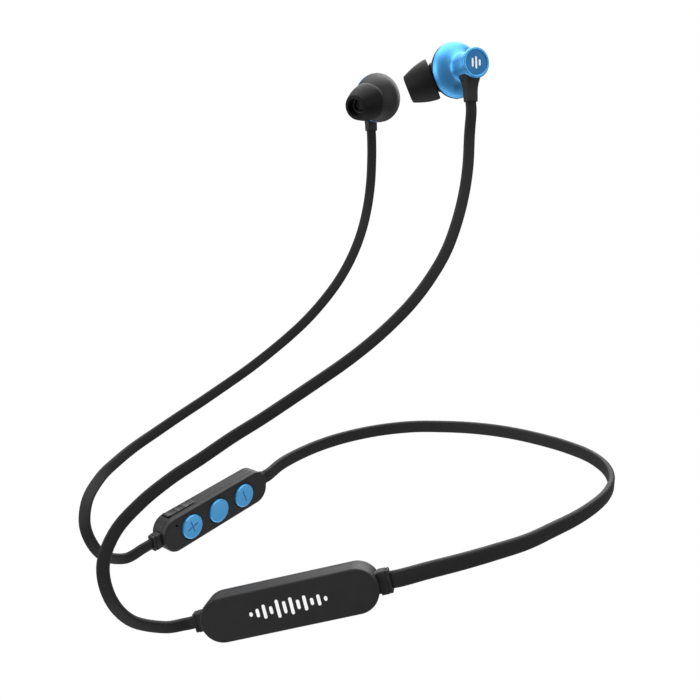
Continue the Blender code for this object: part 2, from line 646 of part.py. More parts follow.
def build_cables():
    cable("left_ear_cable", LEFT_EAR_ROUTE, pod_exit(BATTERY_PLACE, -1, BATTERY_SIZE,
                                                     EAR_GROMMET),
          bud_exit("left"), EAR_CABLE_WIDTH)
    cable("right_ear_cable", RIGHT_EAR_ROUTE, pod_exit(REMOTE_PLACE, -1, REMOTE_SIZE,
                                                       REMOTE_EAR_GROMMET),
          bud_exit("right"), EAR_CABLE_WIDTH)
    cable("neck_cable", NECK_ROUTE, pod_exit(BATTERY_PLACE, 1, BATTERY_SIZE, NECK_GROMMET),
          pod_exit(REMOTE_PLACE, 1, REMOTE_SIZE, REMOTE_NECK_GROMMET), NECK_CABLE_WIDTH)


def main():
    clear_scene()
    build_battery_pod()
    build_remote_pod()
    for name in BUD_PLACES:
        build_bud(name)
    build_cables()


main()
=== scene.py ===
"""Neckband earphones: camera, lights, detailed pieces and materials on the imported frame.

Shapes are drawn in millimetres in the frame of their own assembly and become metres when a mesh
is made. A pod's frame has +X along the pod, -Y out of its face and +Z across its width. A bud's
frame has +Z from the end cap to the ear and +Y away from its cable.
"""
import math

import bmesh
import bpy
from mathutils import Euler, Matrix, Vector

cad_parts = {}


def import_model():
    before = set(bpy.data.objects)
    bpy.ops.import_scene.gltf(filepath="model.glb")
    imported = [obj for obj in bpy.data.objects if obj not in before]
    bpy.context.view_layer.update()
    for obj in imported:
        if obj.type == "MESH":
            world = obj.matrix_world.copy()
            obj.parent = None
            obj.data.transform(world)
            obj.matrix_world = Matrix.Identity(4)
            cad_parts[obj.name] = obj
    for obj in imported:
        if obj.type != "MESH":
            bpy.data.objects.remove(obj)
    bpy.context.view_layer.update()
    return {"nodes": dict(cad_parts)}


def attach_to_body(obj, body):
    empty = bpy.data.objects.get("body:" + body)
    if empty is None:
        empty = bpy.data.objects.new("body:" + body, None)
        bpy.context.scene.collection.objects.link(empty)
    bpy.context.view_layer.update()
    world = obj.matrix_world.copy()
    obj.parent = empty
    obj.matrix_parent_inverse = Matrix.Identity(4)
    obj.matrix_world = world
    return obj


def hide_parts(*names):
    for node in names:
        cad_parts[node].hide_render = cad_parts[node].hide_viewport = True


MM = 0.001
HEADSET = "headset"
Z_TO_MINUS_Y = Matrix.Rotation(math.radians(90), 4, "X")
Z_TO_PLUS_Y = Matrix.Rotation(math.radians(-90), 4, "X")

# ---- camera and stage -----------------------------------------------------------------------
CAMERA_PLACE = (-32, -238, 106.2)
CAMERA_TILT = 75                          # degrees from looking straight down
CAMERA_LENS = 43.2
CAMERA_CLIP = (0.01, 50)                  # metres
LIGHT_TARGET = (-30, 0, 50)
LIGHTS = (                                # name, place in mm, size in metres, watts
    ("top_softbox", (-60, 120, 700), 0.9, 12.0),
    ("left_softbox", (-700, -300, 240), 0.65, 5.5),
    ("right_softbox", (600, -300, 300), 0.4, 1.5),
    ("rim_softbox", (100, 650, 350), 0.6, 5.0),
)
FLOOR_DROP = 400                          # how far the floor lies below the neck opening
FLOOR_RADIUS = 450
FLOOR_GLOW = 0.55
STUDIO_GLOW = 0.32                        # how strongly the white backdrop lights things

# ---- where the assemblies hang: the same places and turns as the CAD's -----------------------
BATTERY_PLACE = ((-46.8, -51.5, -8.8), (-11.5, -15.5, -3.5))
REMOTE_PLACE = ((-74.5, -0.5, -7.75), (0.0, -7.0, 50.0))
BUD_LEAN = Vector((-0.05, 0.1, 0.99))
BUD_PLACES = {
    "left": ((-1.6, 16.7, 121.4), Vector((-0.405, 0.903, -0.135))),
    "right": ((-22.6, 55.1, 115.0), Vector((0.34, -0.935, 0.105))),
}
NOZZLE_SIDE = {"left": 1, "right": -1}

# ---- battery pod ------------------------------------------------------------------------------
BATTERY_SIZE = (46.0, 7.0, 11.5)
BATTERY_SEAM_Y = 1.6
BATTERY_WALL = 1.2
BAR_HEIGHTS = (1.1, 2.2, 3.6, 2.0, 4.6, 3.1, 4.3, 2.4, 3.8, 1.8, 2.8, 1.2)
BAR_WIDTH = 0.85
BAR_PITCH = 1.75
PRINT_HEIGHT = 0.03
SHELL_TONGUE = 0.25                       # how far a front shell's tongue reaches past the seam
SHELL_SLACK = 0.05                        # room for the tongue in the rear shell

# ---- remote pod -------------------------------------------------------------------------------
REMOTE_SIZE = (41.0, 6.0, 10.6)
REMOTE_CORNER = 4.6
REMOTE_WALL = 0.9
REMOTE_SEAM_Y = -1.2
BUTTONS = ("plus", "play", "minus")
BUTTON_RADIUS = 3.65
BUTTON_HOLE_RADIUS = 3.9
BUTTON_PITCH = 10.55
BUTTON_PROUD = 0.6
MARK_LENGTH = 4.0                         # the engraved signs on the buttons
MARK_WIDTH = 0.4
MARK_DEPTH = 0.24
MARK_TURN = math.radians(-14)
HOLE_CHAMFER = 0.14
MICROPHONE_XZ = (-15.7, 2.9)
USB_CENTRE_X = -11.3
USB_CENTRE_Y = 0.6
SEAM = 0.1                                # the visible width of a moulded seam

# ---- grommets: how far each stands out, its thickness and its width ---------------------------
NECK_GROMMET = (2.6, 3.2, 6.0)
EAR_GROMMET = (2.0, 3.0, 5.0)
REMOTE_EAR_GROMMET = (2.4, 2.8, 4.7)
REMOTE_NECK_GROMMET = (1.2, 2.8, 4.4)
GROMMET_ROOT = 0.9                        # how deep a grommet sits in its pod
GAP = 0.3                                 # clearance between a grommet or a cap and its neighbour

# ---- earbud -----------------------------------------------------------------------------------
BELL_RADIUS = 7.95
BELL_RIM_Z = -0.5
STEM_RADIUS = 3.75
STEM_END_Z = -10.4
NOZZLE_TILT = math.radians(58)
NOZZLE_DROP = math.radians(19)
NOZZLE_RADIUS = 2.6
NOZZLE_BORE = 1.9
NOZZLE_END = 12.2
NOZZLE_ROOT = Vector((0, 0.4, 1.0))
TIP_RIM = 6.4
TIP_FRONT = 14.3
RELIEF_BOTTOM_Y = -9.66
RELIEF_CENTRE_Z = -7.5
RELIEF_CHAMFER = 0.6
CAP_BAR_HEIGHTS = (1.7, 3.3, 2.4)
CAP_BAR_WIDTH = 0.55
CAP_BAR_PITCH = 1.15
CAP_SINK = 0.3                            # how far the cap's disc lies below its rim
CAP_DISC_RADIUS = 3.36
COVER_VOXEL = 0.26                        # the grain of the blend between dome and nozzle
SCREEN_FRONT = 11.5                       # the perforated disc's place along the nozzle
SCREEN_THICKNESS = 0.1
SCREEN_PITCH = 0.42
SCREEN_OPENING = 0.62                     # a hole's size as a share of its cell

# ---- flat cables: width, thickness, real length in metres and the CAD's routes ----------------
EAR_CABLE = (3.15, 1.4)
NECK_CABLE = (4.3, 1.8)
LEFT_EAR_LENGTH = 0.204
RIGHT_EAR_LENGTH = 0.206
NECK_LENGTH = 0.245
CABLE_LEAD = 3.0
CABLE_EDGE = 0.36                         # the edge's rounding as a share of the thickness
RING_SPACING = 1.3                        # mm between the rings of a ribbon
SECTION_STEPS = 4                         # steps round each corner of a small cross-section
LEFT_EAR_ROUTE = (
    (-79, -52, -15.8), (-86, -55, -12), (-89.9, -57.5, -4.4), (-91, -57.5, 4.5),
    (-88.2, -55, 12.1), (-82.5, -51.5, 18), (-75.9, -47, 22.4), (-69, -43, 26),
    (-62, -39.5, 30), (-54.6, -36, 33.8), (-47.6, -32.4, 37.6), (-40.4, -28.7, 41.6),
    (-33.6, -25.2, 45.5), (-27.3, -21.8, 49.6), (-21.5, -18.2, 53.9), (-15.5, -14.4, 59.2),
    (-10.2, -10.1, 65.1), (-5.6, -6.1, 71.9), (-2.4, -2.1, 79.1), (0, 1.9, 87),
    (1.4, 5.3, 95), (1.9, 8, 103.5),
)
RIGHT_EAR_ROUTE = (
    (-96, -23, -12.7), (-101, -28, -8.5), (-104.2, -29, -0.5), (-104.5, -25, 6),
    (-102.7, -17.5, 9.7), (-100.2, -9.5, 11.2), (-96.7, -1.5, 12.7), (-91.7, 6, 14.7),
    (-85.6, 12, 17.7), (-79.3, 17, 20.9), (-72.8, 22, 24.4), (-65.9, 26, 28.5),
    (-59.4, 29.5, 32.9), (-52.8, 33, 37.8), (-46.6, 36, 43.1), (-40.7, 39.5, 49.2),
    (-35.5, 43, 55.8), (-31.3, 46.5, 63), (-28.2, 50, 70.5), (-26.1, 53.5, 78.5),
    (-24.9, 56.5, 87), (-24.5, 59, 95.5),
)
NECK_ROUTE = (
    (-12.5, -50, -1), (-3.5, -46.5, -0.5), (5.5, -42.5, 0), (14.5, -38, 0.5),
    (22.4, -32.5, 1.1), (30.4, -26.5, 1.7), (37.3, -20, 2.3), (43, -12, 2.2), (47.2, -2.5, 2),
    (48.1, 7, 2.3), (45.6, 16.5, 2.4), (40.5, 25.5, 2), (34.5, 33, 1.5), (27, 39.5, 1.2),
    (19, 45, 0.7), (10.5, 49.5, 0), (1, 52.5, -0.7), (-8.5, 53.5, -1.1), (-18.5, 53, -1.9),
    (-27.6, 50, -2.4), (-36.1, 45.5, -2.9), (-43.7, 39.7, -3.4), (-50.1, 32.2, -3.6),
    (-55.1, 24.7, -3.8),
)


# ---- frames -----------------------------------------------------------------------------------
def place_matrix(place, rotation):
    """The world matrix of an assembly from its place in mm and its 3 x 3 turn."""
    return Matrix.Translation(Vector(place) * MM) @ rotation.to_4x4()


def pod_matrix(place):
    """The world matrix of a pod from its place and its turn in degrees."""
    turn = Euler([math.radians(a) for a in place[1]]).to_matrix()
    return place_matrix(place[0], turn)


def bud_matrix(side):
    """The world matrix of a bud from its place, the way it points and its lean."""
    place, forward = BUD_PLACES[side]
    z = forward.normalized()
    x = BUD_LEAN.cross(z).normalized()
    y = z.cross(x)
    return place_matrix(place, Matrix((x, y, z)).transposed())


def nozzle_direction(side):
    """Where the nozzle points, in the bud's own frame."""
    level = math.cos(NOZZLE_DROP)
    return Vector((NOZZLE_SIDE[side] * math.sin(NOZZLE_TILT) * level, -math.sin(NOZZLE_DROP),
                   math.cos(NOZZLE_TILT) * level))


def nozzle_matrix(side):
    """The bud's frame moved to the nozzle's root, with +Z along the nozzle."""
    turn = nozzle_direction(side).to_track_quat("Z", "Y").to_matrix().to_4x4()
    return bud_matrix(side) @ Matrix.Translation(NOZZLE_ROOT * MM) @ turn


# ---- material building ------------------------------------------------------------------------
NOISE_LOW = 0.3                           # most of a noise lies between these
NOISE_HIGH = 0.7
CLOUD_SIZE = 6.0                          # mm, the soft variation of a moulded surface


def new_material(name, colour, roughness, metallic=0.0):
    """A Principled material, its node tree and its shader."""
    made = bpy.data.materials.new(name)
    made.use_nodes = True
    shader = made.node_tree.nodes["Principled BSDF"]
    shader.inputs["Base Color"].default_value = (*colour, 1.0)
    shader.inputs["Roughness"].default_value = roughness
    shader.inputs["Metallic"].default_value = metallic
    return made, made.node_tree, shader


def set_socket(shader, name, value):
    """Set a constant on the shader's own socket."""
    shader.inputs[name].default_value = value


def add_node(tree, kind, **values):
    node = tree.nodes.new(kind)
    for name, value in values.items():
        setattr(node, name, value)
    return node


def object_coordinates(tree, scale=(1, 1, 1)):
    """Object coordinates in metres, stretched by scale."""
    source = add_node(tree, "ShaderNodeTexCoord")
    mapping = add_node(tree, "ShaderNodeMapping")
    mapping.inputs["Scale"].default_value = scale
    tree.links.new(source.outputs["Object"], mapping.inputs["Vector"])
    return mapping.outputs["Vector"]


def noise(tree, vector, size, detail=2.0, roughness=0.5):
    """A noise whose features are about size mm across."""
    node = add_node(tree, "ShaderNodeTexNoise")
    node.inputs["Scale"].default_value = 1.0 / (size * MM)
    node.inputs["Detail"].default_value = detail
    node.inputs["Roughness"].default_value = roughness
    tree.links.new(vector, node.inputs["Vector"])
    return node.outputs["Fac"]


def ramp(tree, factor, low, high):
    """Map the usual range of a noise onto low..high."""
    node = add_node(tree, "ShaderNodeMapRange")
    node.inputs["From Min"].default_value = NOISE_LOW
    node.inputs["From Max"].default_value = NOISE_HIGH
    node.inputs["To Min"].default_value = low
    node.inputs["To Max"].default_value = high
    tree.links.new(factor, node.inputs["Value"])
    return node.outputs["Result"]


def mix_colours(tree, factor, first, second):
    node = add_node(tree, "ShaderNodeMix", data_type="RGBA")
    node.inputs["A"].default_value = (*first, 1.0)
    node.inputs["B"].default_value = (*second, 1.0)
    tree.links.new(factor, node.inputs["Factor"])
    return node.outputs["Result"]


def bump(tree, shader, height, strength, distance):
    """Raise the surface by height. distance is in mm."""
    node = add_node(tree, "ShaderNodeBump")
    node.inputs["Strength"].default_value = strength
    node.inputs["Distance"].default_value = distance * MM
    tree.links.new(height, node.inputs["Height"])
    tree.links.new(node.outputs["Normal"], shader.inputs["Normal"])


def radius_and_height(tree, vector):
    """The distance of a point from the piece's own Z axis and its height, as sockets."""
    split = add_node(tree, "ShaderNodeSeparateXYZ")
    join = add_node(tree, "ShaderNodeCombineXYZ")
    length = add_node(tree, "ShaderNodeVectorMath", operation="LENGTH")
    tree.links.new(vector, split.inputs["Vector"])
    tree.links.new(split.outputs["X"], join.inputs["X"])
    tree.links.new(split.outputs["Y"], join.inputs["Y"])
    tree.links.new(join.outputs["Vector"], length.inputs[0])
    return length.outputs["Value"], split.outputs["Z"]


def lathe_lines(tree, size):
    """Fine turning marks: a noise that depends only on radius and height."""
    vector = object_coordinates(tree)
    radius, height = radius_and_height(tree, vector)
    join = add_node(tree, "ShaderNodeCombineXYZ")
    tree.links.new(radius, join.inputs["X"])
    tree.links.new(height, join.inputs["Y"])
    return noise(tree, join.outputs["Vector"], size, detail=3.0)


def make_moulded(name, colour, lighter, roughness, specular, grain, depth):
    """Moulded plastic or rubber: fine grain, soft cloudy gloss and faint colour variation."""
    made, tree, shader = new_material(name, colour, roughness)
    vector = object_coordinates(tree)
    cloud = noise(tree, vector, CLOUD_SIZE, detail=3.0)
    fine = noise(tree, vector, grain)
    tree.links.new(mix_colours(tree, cloud, colour, lighter), shader.inputs["Base Color"])
    tree.links.new(ramp(tree, cloud, roughness - 0.04, roughness + 0.05),
                   shader.inputs["Roughness"])
    bump(tree, shader, fine, 0.35, depth)
    set_socket(shader, "Specular IOR Level", specular)
    return made


def make_anodised_blue():
    """Bead-blasted and anodised aluminium with faint turning marks."""
    made, tree, shader = new_material("anodised_blue", (0.06, 0.26, 0.54), 0.45, 0.88)
    vector = object_coordinates(tree)
    grain = noise(tree, vector, 0.12)
    lines = lathe_lines(tree, 0.09)
    colour = mix_colours(tree, lines, (0.05, 0.24, 0.51), (0.065, 0.28, 0.57))
    tree.links.new(colour, shader.inputs["Base Color"])
    tree.links.new(ramp(tree, grain, 0.42, 0.49), shader.inputs["Roughness"])
    bump(tree, shader, lines, 0.12, 0.01)
    return made


def make_spun_disc():
    """The end cap's sunk face: concentric spin marks in deep blue."""
    made, tree, shader = new_material("spun_blue_disc", (0.03, 0.17, 0.36), 0.3, 1.0)
    lines = lathe_lines(tree, 0.16)
    colour = mix_colours(tree, lines, (0.008, 0.04, 0.1), (0.022, 0.1, 0.21))
    tree.links.new(colour, shader.inputs["Base Color"])
    tree.links.new(ramp(tree, lines, 0.26, 0.4), shader.inputs["Roughness"])
    bump(tree, shader, lines, 0.5, 0.02)
    set_socket(shader, "Anisotropic", 0.6)
    return made


def make_button_blue():
    """Satin blue paint with a fine metallic grain."""
    made, tree, shader = new_material("button_blue", (0.07, 0.36, 0.72), 0.36, 0.35)
    vector = object_coordinates(tree, (1, 1, 0.35))
    grain = noise(tree, vector, 0.12, detail=3.0)
    tree.links.new(mix_colours(tree, grain, (0.065, 0.33, 0.68), (0.085, 0.4, 0.78)),
                   shader.inputs["Base Color"])
    tree.links.new(ramp(tree, grain, 0.32, 0.42), shader.inputs["Roughness"])
    bump(tree, shader, grain, 0.15, 0.01)
    return made


def make_engraving_blue():
    """The darker floor of the button's engraved marks."""
    made, tree, shader = new_material("engraving_blue", (0.02, 0.12, 0.3), 0.55, 0.2)
    vector = object_coordinates(tree)
    grain = noise(tree, vector, 0.1)
    tree.links.new(mix_colours(tree, grain, (0.015, 0.1, 0.26), (0.03, 0.15, 0.36)),
                   shader.inputs["Base Color"])
    bump(tree, shader, grain, 0.2, 0.01)
    return made


def make_white_print():
    """Pad-printed white ink, slightly uneven."""
    made, tree, shader = new_material("white_print", (0.85, 0.85, 0.86), 0.5)
    vector = object_coordinates(tree)
    grain = noise(tree, vector, 0.2, detail=3.0)
    tree.links.new(mix_colours(tree, grain, (0.8, 0.8, 0.81), (0.9, 0.9, 0.9)),
                   shader.inputs["Base Color"])
    bump(tree, shader, grain, 0.2, 0.005)
    return made


def make_metal(name, colour, darker, roughness, stretch):
    """Plated or brushed metal: fine marks, drawn out along the axes where stretch is small."""
    made, tree, shader = new_material(name, colour, roughness, 1.0)
    brushed = noise(tree, object_coordinates(tree, stretch), 0.15, detail=3.0)
    tree.links.new(mix_colours(tree, brushed, darker, colour), shader.inputs["Base Color"])
    tree.links.new(ramp(tree, brushed, roughness - 0.06, roughness + 0.08),
                   shader.inputs["Roughness"])
    bump(tree, shader, brushed, 0.2, 0.01)
    return made


def make_board_green():
    """Solder mask over faint copper traces."""
    made, tree, shader = new_material("board_green", (0.01, 0.11, 0.04), 0.35)
    cells = add_node(tree, "ShaderNodeTexVoronoi", feature="DISTANCE_TO_EDGE")
    cells.inputs["Scale"].default_value = 900
    tree.links.new(object_coordinates(tree), cells.inputs["Vector"])
    trace = add_node(tree, "ShaderNodeMath", operation="LESS_THAN")
    trace.inputs[1].default_value = 0.06
    tree.links.new(cells.outputs["Distance"], trace.inputs[0])
    tree.links.new(mix_colours(tree, trace.outputs["Value"], (0.008, 0.09, 0.035),
                               (0.03, 0.2, 0.07)), shader.inputs["Base Color"])
    bump(tree, shader, trace.outputs["Value"], 0.3, 0.02)
    return made


def make_foil():
    """The pouch cell's crinkled aluminium foil."""
    made, tree, shader = new_material("pouch_foil", (0.62, 0.62, 0.64), 0.34, 1.0)
    crease = noise(tree, object_coordinates(tree), 1.6, detail=4.0, roughness=0.6)
    tree.links.new(ramp(tree, crease, 0.28, 0.45), shader.inputs["Roughness"])
    tree.links.new(mix_colours(tree, crease, (0.5, 0.5, 0.52), (0.68, 0.68, 0.7)),
                   shader.inputs["Base Color"])
    bump(tree, shader, crease, 0.6, 0.15)
    return made


def make_foam():
    """Open-cell foam."""
    made, tree, shader = new_material("grey_foam", (0.16, 0.16, 0.17), 0.95)
    pores = add_node(tree, "ShaderNodeTexVoronoi")
    pores.inputs["Scale"].default_value = 3500
    tree.links.new(object_coordinates(tree), pores.inputs["Vector"])
    tree.links.new(mix_colours(tree, pores.outputs["Distance"], (0.06, 0.06, 0.065),
                               (0.22, 0.22, 0.23)), shader.inputs["Base Color"])
    bump(tree, shader, pores.outputs["Distance"], 0.7, 0.12)
    return made


def make_film():
    """The diaphragm's amber film, with radial ribs faintly raised."""
    made, tree, shader = new_material("amber_film", (0.5, 0.4, 0.2), 0.25)
    set_socket(shader, "Coat Weight", 0.4)
    ripple = lathe_lines(tree, 0.4)
    tree.links.new(mix_colours(tree, ripple, (0.42, 0.33, 0.16), (0.56, 0.46, 0.25)),
                   shader.inputs["Base Color"])
    bump(tree, shader, ripple, 0.3, 0.03)
    return made


def make_materials():
    """Every material, by the name the pieces ask for."""
    return {
        "soft": make_moulded("soft_touch_black", (0.0125, 0.0125, 0.013),
                             (0.018, 0.0175, 0.018), 0.5, 0.2, 0.16, 0.02),
        "cable": make_moulded("cable_rubber", (0.011, 0.011, 0.0115), (0.016, 0.016, 0.0165),
                              0.6, 0.14, 0.2, 0.015),
        "silicone": make_moulded("ear_tip_silicone", (0.006, 0.006, 0.0065),
                                 (0.009, 0.009, 0.0095), 0.5, 0.07, 0.3, 0.01),
        "anodised": make_anodised_blue(),
        "spun": make_spun_disc(),
        "button": make_button_blue(),
        "engraving": make_engraving_blue(),
        "print": make_white_print(),
        "steel": make_metal("plated_steel", (0.62, 0.62, 0.63), (0.45, 0.45, 0.47), 0.3,
                            (1, 1, 0.1)),
        # painted shade: the nozzle screen's near-black colour stands in for the shade deep in the
        # nozzle's bore
        "shade_dark_steel": make_metal("shade_painted_steel", (0.05, 0.05, 0.052), (0.03, 0.03, 0.031),
                                 0.4, (1, 1, 1)),
        "copper": make_metal("enamelled_copper", (0.74, 0.34, 0.16), (0.5, 0.2, 0.09), 0.32,
                             (0.2, 0.2, 3)),
        "board": make_board_green(),
        "foil": make_foil(),
        "foam": make_foam(),
        "film": make_film(),
        "chip": make_moulded("chip_black", (0.02, 0.02, 0.021), (0.032, 0.032, 0.033), 0.42,
                             0.5, 0.08, 0.01),
    }


# ---- mesh helpers, all in mm ------------------------------------------------------------------
def rounded_outline(length, width, radius, steps=14):
    """A rectangle with round corners, anticlockwise seen from -Y, as (x, z) pairs."""
    points = []
    for quarter in range(4):
        sign_x = (1, -1, -1, 1)[quarter]
        sign_z = (1, 1, -1, -1)[quarter]
        centre_x = sign_x * (length / 2 - radius)
        centre_z = sign_z * (width / 2 - radius)
        for step in range(steps + 1):
            angle = math.pi / 2 * (quarter + step / steps)
            points.append((centre_x + radius * math.cos(angle),
                           centre_z + radius * math.sin(angle)))
    return points


def loft(rings):
    """Skin a list of point rings and close it with flat ends."""
    mesh_data = bmesh.new()
    made = [[mesh_data.verts.new(point) for point in ring] for ring in rings]
    for lower, upper in zip(made, made[1:]):
        count = len(lower)
        for k in range(count):
            following = (k + 1) % count
            mesh_data.faces.new((lower[k], lower[following], upper[following], upper[k]))
    mesh_data.faces.new(list(reversed(made[0])))
    mesh_data.faces.new(made[-1])
    bmesh.ops.recalc_face_normals(mesh_data, faces=mesh_data.faces)
    return mesh_data


def box(low, high):
    (x0, y0, z0), (x1, y1, z1) = low, high
    outline = [(x1, z1), (x0, z1), (x0, z0), (x1, z0)]
    return loft([[(x, y, z) for x, z in outline] for y in (y0, y1)])


def turned(profile, segments, ring=False, matrix=None):
    """Turn (radius, height) points about +Z. ring=True turns a closed profile off the axis."""
    mesh_data = bmesh.new()
    rows = []
    for radius, height in profile:
        if radius == 0:
            rows.append([mesh_data.verts.new((0, 0, height))])
            continue
        turns = [2 * math.pi * k / segments for k in range(segments)]
        rows.append([mesh_data.verts.new((radius * math.cos(a), radius * math.sin(a), height))
                     for a in turns])
    pairs = list(zip(rows, rows[1:]))
    if ring:
        pairs.append((rows[-1], rows[0]))
    for first, second in pairs:
        for k in range(segments):
            following = (k + 1) % segments
            corners = [first[k % len(first)], first[following % len(first)],
                       second[following % len(second)], second[k % len(second)]]
            mesh_data.faces.new(list(dict.fromkeys(corners)))
    bmesh.ops.recalc_face_normals(mesh_data, faces=mesh_data.faces)
    if matrix is not None:
        mesh_data.transform(matrix)
    return mesh_data


def spline_point(points, position):
    """A point on the smooth curve through points; position runs from 0 to len(points) - 1."""
    index = min(int(position), len(points) - 2)
    t = position - index
    p1, p2 = points[index], points[index + 1]
    p0 = points[index - 1] if index > 0 else 2 * p1 - p2
    p3 = points[index + 2] if index + 2 < len(points) else 2 * p2 - p1
    cubic = -p0 + 3 * p1 - 3 * p2 + p3
    square = 2 * p0 - 5 * p1 + 4 * p2 - p3
    return 0.5 * (2 * p1 + (p2 - p0) * t + square * t * t + cubic * t * t * t)


def smoothed(profile, per_span=4):
    """A finer (radius, height) profile on the smooth curve through the given one."""
    points = [Vector(p) for p in profile]
    count = (len(points) - 1) * per_span
    return [tuple(spline_point(points, (len(points) - 1) * k / count)) for k in range(count + 1)]


def apply_modifiers(obj):
    """Swap obj's mesh for its evaluated one and drop its modifiers."""
    bpy.context.view_layer.update()
    graph = bpy.context.evaluated_depsgraph_get()
    mesh = bpy.data.meshes.new_from_object(obj.evaluated_get(graph))
    obj.modifiers.clear()
    obj.data = mesh


def new_object(name, mesh_data, matrix, look):
    """An object from a bmesh in mm, placed by an assembly's matrix."""
    for vertex in mesh_data.verts:
        vertex.co = vertex.co * MM
    mesh = bpy.data.meshes.new(name)
    mesh_data.to_mesh(mesh)
    mesh_data.free()
    obj = bpy.data.objects.new(name, mesh)
    obj.matrix_world = matrix
    bpy.context.collection.objects.link(obj)
    mesh.materials.append(look)
    return obj


def carve(obj, *cutters, operation="DIFFERENCE"):
    """Cut bmeshes in mm out of obj, or join them to it."""
    for mesh_data in cutters:
        helper = new_object(obj.name + "_helper", mesh_data, obj.matrix_world.copy(),
                            obj.data.materials[0])
        modifier = obj.modifiers.new("cut", "BOOLEAN")
        modifier.object = helper
        modifier.operation = operation
        modifier.solver = "EXACT"
        apply_modifiers(obj)
        bpy.data.objects.remove(helper, do_unlink=True)


def soften(obj, width, segments, angle):
    """Round the edges sharper than angle and shade the piece smooth."""
    modifier = obj.modifiers.new("rounding", "BEVEL")
    modifier.width = width * MM
    modifier.segments = segments
    modifier.limit_method = "ANGLE"
    modifier.angle_limit = math.radians(angle)
    apply_modifiers(obj)
    smooth(obj, 40)


def smooth(obj, angle):
    """Shade smooth, keeping the edges sharper than angle degrees."""
    obj.data.shade_smooth()
    obj.data.set_sharp_from_angle(angle=math.radians(angle))


def attach(obj, nodes, body=HEADSET):
    """obj rides on a body and hides the CAD nodes it stands for."""
    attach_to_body(obj, body)
    if nodes:
        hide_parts(*nodes)


def add_piece(name, mesh_data, matrix, look, angle, nodes, body=HEADSET):
    """A piece that needs no cutting: made, shaded smooth below angle and attached."""
    obj = new_object(name, mesh_data, matrix, look)
    smooth(obj, angle)
    attach(obj, nodes, body)


# ---- pods -------------------------------------------------------------------------------------
def pod_levels(size, corner, steps):
    """The rings of a pod's shell from (inset, y) pairs."""
    length, _, width = size
    rings = []
    for inset, y in steps:
        outline = rounded_outline(length - 2 * inset, width - 2 * inset, corner - inset)
        rings.append([(x, y, z) for x, z in outline])
    return rings


def face_rounding(y, edge, towards):
    """The (inset, y) pairs of a rounded edge, from the face out to the side."""
    steps = []
    for k in range(5):
        angle = math.pi / 2 * k / 4
        steps.append((edge * (1 - math.sin(angle)), y + towards * edge * (1 - math.cos(angle))))
    return steps


def shell_front(size, corner, edge, wall, seam):
    """The front half of a pod: its face is towards -Y, with a tongue behind the seam."""
    face = -size[1] / 2
    lip = seam - SEAM * 0.3
    tongue = seam + SHELL_TONGUE
    steps = [(1.6, face), (0.9, face)] + face_rounding(face, edge, 1)
    steps += [(0.0, seam - SEAM * 0.8), (0.06, lip), (0.4, lip), (0.4, tongue), (wall, tongue),
              (wall, face + wall)]
    return loft(pod_levels(size, corner, steps))


def shell_rear(size, corner, edge, wall, seam):
    """The rear half of a pod, rebated to take the front half's tongue."""
    back = size[1] / 2
    lip = seam + SEAM * 0.3
    rebate = seam + SHELL_TONGUE + SHELL_SLACK
    steps = [(1.6, back), (0.9, back)] + face_rounding(back, edge, -1)
    steps += [(0.0, seam + SEAM * 0.8), (0.06, lip), (0.36, lip), (0.36, rebate), (wall, rebate),
              (wall, back - wall)]
    return loft(pod_levels(size, corner, steps))


def rounded_section(x, half_y, half_z, radius):
    """One rounded-rectangle ring across the X axis."""
    outline = rounded_outline(2 * half_y, 2 * half_z, radius, SECTION_STEPS)
    return [(x, y, z) for y, z in outline]


def grommet(name, node, matrix, side, half_length, size, look):
    """A moulded cable grommet: a block at the pod, a fine groove and a slightly lower flange."""
    reach, thickness, width = size
    half_y = thickness / 2
    half_z = width / 2
    start = half_length - GROMMET_ROOT
    collar = half_length + 0.02
    end = half_length + reach + GAP
    flange = end - min(0.8, reach * 0.4)
    steps = [
        (start, half_y - 0.35, half_z - 0.35), (collar, half_y - 0.35, half_z - 0.35),
        (collar, half_y - 0.06, half_z - 0.06), (collar + 0.06, half_y, half_z),
        (flange - 0.16, half_y, half_z), (flange - 0.1, half_y - 0.05, half_z - 0.05),
        (flange - 0.1, half_y - 0.18, half_z - 0.18), (flange + 0.04, half_y - 0.18, half_z - 0.18),
        (flange + 0.04, half_y - 0.1, half_z - 0.1), (flange + 0.1, half_y - 0.06, half_z - 0.06),
        (end - 0.1, half_y - 0.06, half_z - 0.06), (end, half_y - 0.16, half_z - 0.16),
    ]
    rings = [rounded_section(side * x, y, z, min(0.4, y * 0.5)) for x, y, z in steps]
    add_piece(name, loft(rings), matrix, look, 35, [node])


def sound_bars(name, matrix, heights, width, pitch, y, look):
    """A row of round-ended bars, printed on a face that looks along -Y."""
    mesh_data = bmesh.new()
    first = -pitch * (len(heights) - 1) / 2
    for k, height in enumerate(heights):
        outline = rounded_outline(width, max(height, width), width / 2, 6)
        centre = first + k * pitch
        front = [mesh_data.verts.new((centre + x, y - PRINT_HEIGHT, z)) for x, z in outline]
        back = [mesh_data.verts.new((centre + x, y + PRINT_HEIGHT, z)) for x, z in outline]
        mesh_data.faces.new(front)
        mesh_data.faces.new(list(reversed(back)))
        for corner in range(len(outline)):
            following = (corner + 1) % len(outline)
            mesh_data.faces.new((front[corner], back[corner], back[following],
                                 front[following]))
    bmesh.ops.recalc_face_normals(mesh_data, faces=mesh_data.faces)
    return new_object(name, mesh_data, matrix, look)


